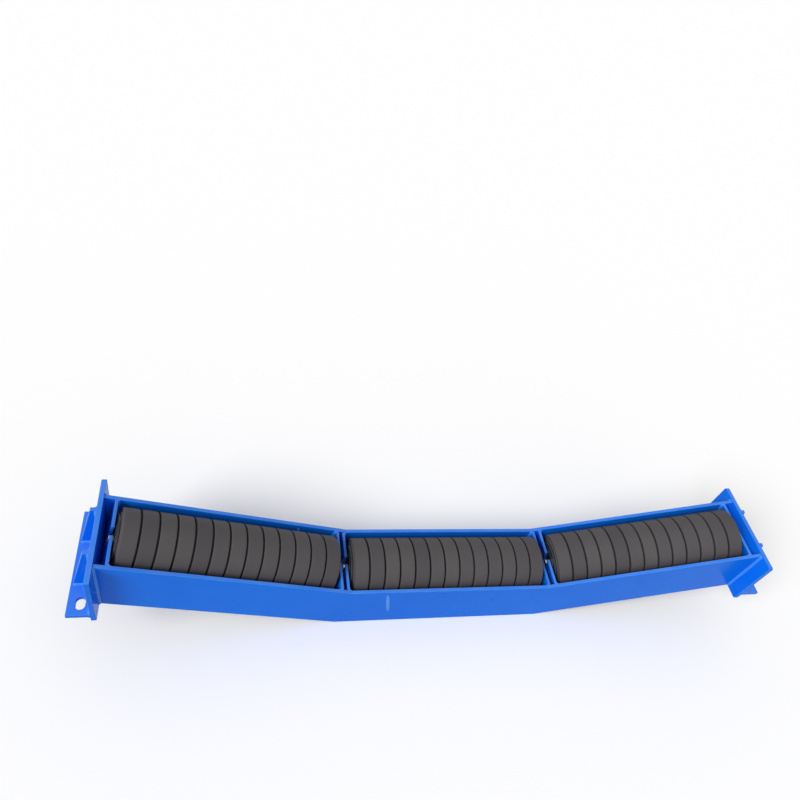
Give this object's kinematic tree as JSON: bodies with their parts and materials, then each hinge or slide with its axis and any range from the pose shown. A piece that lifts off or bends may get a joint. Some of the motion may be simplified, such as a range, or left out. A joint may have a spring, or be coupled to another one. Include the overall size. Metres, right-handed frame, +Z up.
{
  "type": "troughing idler set",
  "caption": "Trough-shaped conveyor frame of bent side plates that carries rubber-disc impact rollers in open-topped brackets and bolts to the conveyor's stringers by its feet.",
  "frame": {"origin": "middle of the set at floor level, under the level stretch of the side plates", "axes": "+X across the belt to the right, +Y along the belt's travel, +Z up"},
  "size_m": [1.588, 0.232, 0.2971],
  "materials": {
    "blue_paint": "glossy enamel on welded steel plate",
    "black_rubber": "matt moulded rubber",
    "machined_steel": "turned and milled bright steel",
    "tube_steel": "thin black primer on drawn tube",
    "pressed_steel": "pressed sheet steel, lightly oiled",
    "bearing_steel": "ground and polished",
    "spring_steel": "phosphated spring steel",
    "black_plastic": "moulded, slightly rough"
  },
  "bodies": {
    "frame": {"side_plate_front": "blue_paint", "side_plate_rear": "blue_paint", "end_plate_left": "blue_paint", "end_plate_right": "blue_paint", "foot_left": "blue_paint", "foot_right": "blue_paint", "gusset_left_front": "blue_paint", "gusset_left_rear": "blue_paint", "gusset_right_front": "blue_paint", "gusset_right_rear": "blue_paint", "centre_bracket_left": "blue_paint", "centre_bracket_right": "blue_paint", "inner_bracket_left": "blue_paint", "inner_bracket_right": "blue_paint", "outer_bracket_left": "blue_paint", "outer_bracket_right": "blue_paint"},
    "left_roller_shaft": {"left_shaft": "machined_steel", "left_bearing_inner_rings": "bearing_steel", "left_inner_seals": "black_plastic", "left_circlips": "spring_steel"},
    "left_roller_shell": {"left_tube": "tube_steel", "left_rubber_discs": "black_rubber", "left_end_rings": "tube_steel", "left_bearing_housings": "pressed_steel", "left_bearing_outer_rings": "bearing_steel", "left_outer_seals": "black_plastic", "left_end_caps": "black_plastic"},
    "left_roller_cages": {"left_bearing_balls": "bearing_steel", "left_bearing_cages": "pressed_steel"},
    "centre_roller_shaft": {"centre_shaft": "machined_steel", "centre_bearing_inner_rings": "bearing_steel", "centre_inner_seals": "black_plastic", "centre_circlips": "spring_steel"},
    "centre_roller_shell": {"centre_tube": "tube_steel", "centre_rubber_discs": "black_rubber", "centre_end_rings": "tube_steel", "centre_bearing_housings": "pressed_steel", "centre_bearing_outer_rings": "bearing_steel", "centre_outer_seals": "black_plastic", "centre_end_caps": "black_plastic"},
    "centre_roller_cages": {"centre_bearing_balls": "bearing_steel", "centre_bearing_cages": "pressed_steel"},
    "right_roller_shaft": {"right_shaft": "machined_steel", "right_bearing_inner_rings": "bearing_steel", "right_inner_seals": "black_plastic", "right_circlips": "spring_steel"},
    "right_roller_shell": {"right_tube": "tube_steel", "right_rubber_discs": "black_rubber", "right_end_rings": "tube_steel", "right_bearing_housings": "pressed_steel", "right_bearing_outer_rings": "bearing_steel", "right_outer_seals": "black_plastic", "right_end_caps": "black_plastic"},
    "right_roller_cages": {"right_bearing_balls": "bearing_steel", "right_bearing_cages": "pressed_steel"}
  },
  "joints": [
    {"name": "left_roller_lift", "type": "slide", "parent": "frame", "child": "left_roller_shaft", "axis": [0.2588, 0, 0.9659], "range_m": [0, 0.0471]},
    {"name": "left_roller_spin", "type": "hinge", "parent": "left_roller_shaft", "child": "left_roller_shell", "pos_m": [-0.49375, 0, 0.17494], "axis": [0.9659, 0, -0.2588], "continuous": true},
    {"name": "left_cages_turn", "type": "hinge", "parent": "left_roller_shaft", "child": "left_roller_cages", "pos_m": [-0.49375, 0, 0.17494], "axis": [0.9659, 0, -0.2588], "continuous": true},
    {"name": "centre_roller_lift", "type": "slide", "parent": "frame", "child": "centre_roller_shaft", "axis": [0, 0, 1], "range_m": [0, 0.0471]},
    {"name": "centre_roller_spin", "type": "hinge", "parent": "centre_roller_shaft", "child": "centre_roller_shell", "pos_m": [0, 0, 0.106], "axis": [1, 0, 0], "continuous": true},
    {"name": "centre_cages_turn", "type": "hinge", "parent": "centre_roller_shaft", "child": "centre_roller_cages", "pos_m": [0, 0, 0.106], "axis": [1, 0, 0], "continuous": true},
    {"name": "right_roller_lift", "type": "slide", "parent": "frame", "child": "right_roller_shaft", "axis": [-0.2588, 0, 0.9659], "range_m": [0, 0.0471]},
    {"name": "right_roller_spin", "type": "hinge", "parent": "right_roller_shaft", "child": "right_roller_shell", "pos_m": [0.49375, 0, 0.17494], "axis": [0.9659, 0, 0.2588], "continuous": true},
    {"name": "right_cages_turn", "type": "hinge", "parent": "right_roller_shaft", "child": "right_roller_cages", "pos_m": [0.49375, 0, 0.17494], "axis": [0.9659, 0, 0.2588], "continuous": true}
  ],
  "couplings": [
    {"joint": "left_cages_turn", "follows": "left_roller_spin", "ratio": 0.6026},
    {"joint": "centre_cages_turn", "follows": "centre_roller_spin", "ratio": 0.6026},
    {"joint": "right_cages_turn", "follows": "right_roller_spin", "ratio": 0.6026}
  ]
}
